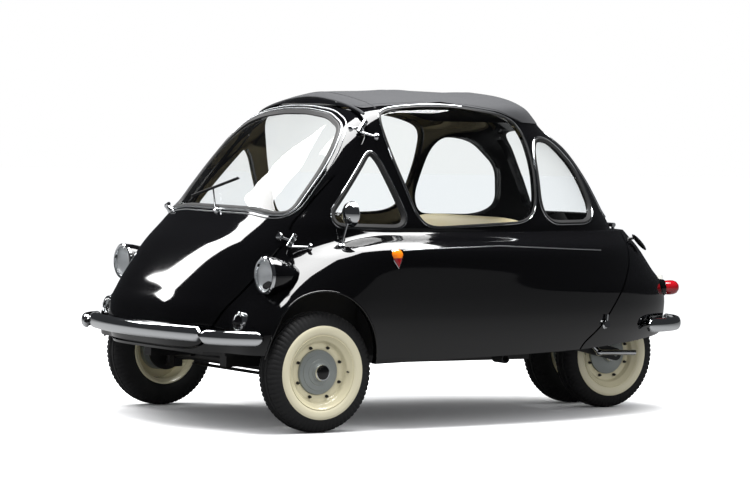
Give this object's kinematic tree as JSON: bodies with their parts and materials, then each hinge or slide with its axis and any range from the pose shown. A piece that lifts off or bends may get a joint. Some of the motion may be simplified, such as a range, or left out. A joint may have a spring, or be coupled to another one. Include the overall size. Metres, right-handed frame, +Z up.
{
  "type": "bubble car",
  "caption": "Small front-door bubble car with a rounded cabin, wraparound windows, folding fabric roof and close-set twin rear wheels.",
  "frame": {"origin": "on the ground under the middle of the car", "axes": "+X forward, +Y to the car's left, +Z up"},
  "size_m": [2.55, 1.391, 1.32],
  "materials": {
    "black_paint": "gloss",
    "roof_fabric": "matte",
    "window_glass": "clear gloss",
    "chrome": "polished",
    "lamp_glass": "clear gloss",
    "amber_lens": "gloss",
    "red_lens": "gloss",
    "plate_white": "satin",
    "trim_cream": "satin",
    "seat_cloth": "satin",
    "chassis_steel": "satin",
    "ivory_plastic": "gloss",
    "engine_alloy": "rough",
    "hub_grey": "satin",
    "rim_cream": "gloss",
    "tyre_rubber": "matte"
  },
  "bodies": {
    "body": {"body_shell": "black_paint", "fabric_roof": "roof_fabric", "side_windows": "window_glass", "rear_window": "window_glass", "door_hinges": "black_paint", "headlamps": "black_paint", "headlamp_lenses": "lamp_glass", "marker_lamps": "chrome", "side_lamps": "amber_lens", "front_corner_bumpers": "chrome", "wing_mirror": "chrome", "side_trims": "trim_cream", "floor_pan": "chassis_steel", "rear_bulkhead": "chassis_steel", "seat_frame": "chassis_steel", "seat_cushion": "seat_cloth", "seat_backrest": "seat_cloth", "steering_column": "chassis_steel", "foot_controls": "chassis_steel", "jacking_tubes": "chassis_steel", "front_axle_beam": "chassis_steel", "rear_swing_arm": "chassis_steel", "engine_block": "engine_alloy", "exhaust": "chrome"},
    "door": {"front_door": "black_paint", "windscreen": "window_glass", "door_hinge_arms": "black_paint", "door_handle": "chrome", "wiper": "chrome", "door_trim": "trim_cream", "centre_bumper": "chrome"},
    "tail": {"tail_cover": "black_paint", "tail_fittings": "chrome", "tail_lamps": "red_lens", "rear_bumpers": "chrome", "number_plate": "plate_white"},
    "steering_wheel_body": {"steering_wheel": "ivory_plastic"},
    "left_knuckle": {"knuckle_left": "chassis_steel"},
    "right_knuckle": {"knuckle_right": "chassis_steel"},
    "track_rod": {"tie_rod": "chassis_steel"},
    "left_wheel": {"hub_left": "hub_grey", "front_rim_left": "rim_cream", "front_tyre_left": "tyre_rubber"},
    "right_wheel": {"hub_right": "hub_grey", "front_rim_right": "rim_cream", "front_tyre_right": "tyre_rubber"},
    "rear_wheels": {"rear_axle": "hub_grey", "rear_rims": "rim_cream", "rear_tyres": "tyre_rubber"}
  },
  "joints": [
    {"name": "door_hinge", "type": "hinge", "parent": "body", "child": "door", "pos_m": [0.858, 0.54, 0.726], "axis": [-0.6284, -0.1545, 0.7624], "range_deg": [0, 80]},
    {"name": "tail_hinge", "type": "hinge", "parent": "body", "child": "tail", "pos_m": [-0.98, 0, 0.779], "axis": [0, 1, 0], "range_deg": [0, 40]},
    {"name": "steer_left", "type": "hinge", "parent": "body", "child": "left_knuckle", "pos_m": [0.785, 0.515, 0.231], "axis": [0, 0, 1], "range_deg": [-26, 26]},
    {"name": "steer_right", "type": "hinge", "parent": "body", "child": "right_knuckle", "pos_m": [0.785, -0.515, 0.231], "axis": [0, 0, 1], "range_deg": [-26, 26]},
    {"name": "track_rod_pivot", "type": "hinge", "parent": "left_knuckle", "child": "track_rod", "pos_m": [0.667, 0.515, 0.185], "axis": [0, 0, 1], "range_deg": [-26, 26]},
    {"name": "steering_wheel_turn", "type": "hinge", "parent": "body", "child": "steering_wheel_body", "pos_m": [0.5, 0.19, 0.7], "axis": [-0.6196, 0, 0.7849], "range_deg": [-312, 312]},
    {"name": "left_wheel_spin", "type": "hinge", "parent": "left_knuckle", "child": "left_wheel", "pos_m": [0.785, 0.61, 0.231], "axis": [0, 1, 0], "continuous": true},
    {"name": "right_wheel_spin", "type": "hinge", "parent": "right_knuckle", "child": "right_wheel", "pos_m": [0.785, -0.61, 0.231], "axis": [0, 1, 0], "continuous": true},
    {"name": "rear_wheels_spin", "type": "hinge", "parent": "body", "child": "rear_wheels", "pos_m": [-0.975, 0, 0.231], "axis": [0, 1, 0], "continuous": true}
  ],
  "couplings": [
    {"joint": "steer_right", "follows": "steer_left", "ratio": 1},
    {"joint": "track_rod_pivot", "follows": "steer_left", "ratio": -1},
    {"joint": "steering_wheel_turn", "follows": "steer_left", "ratio": 12}
  ]
}
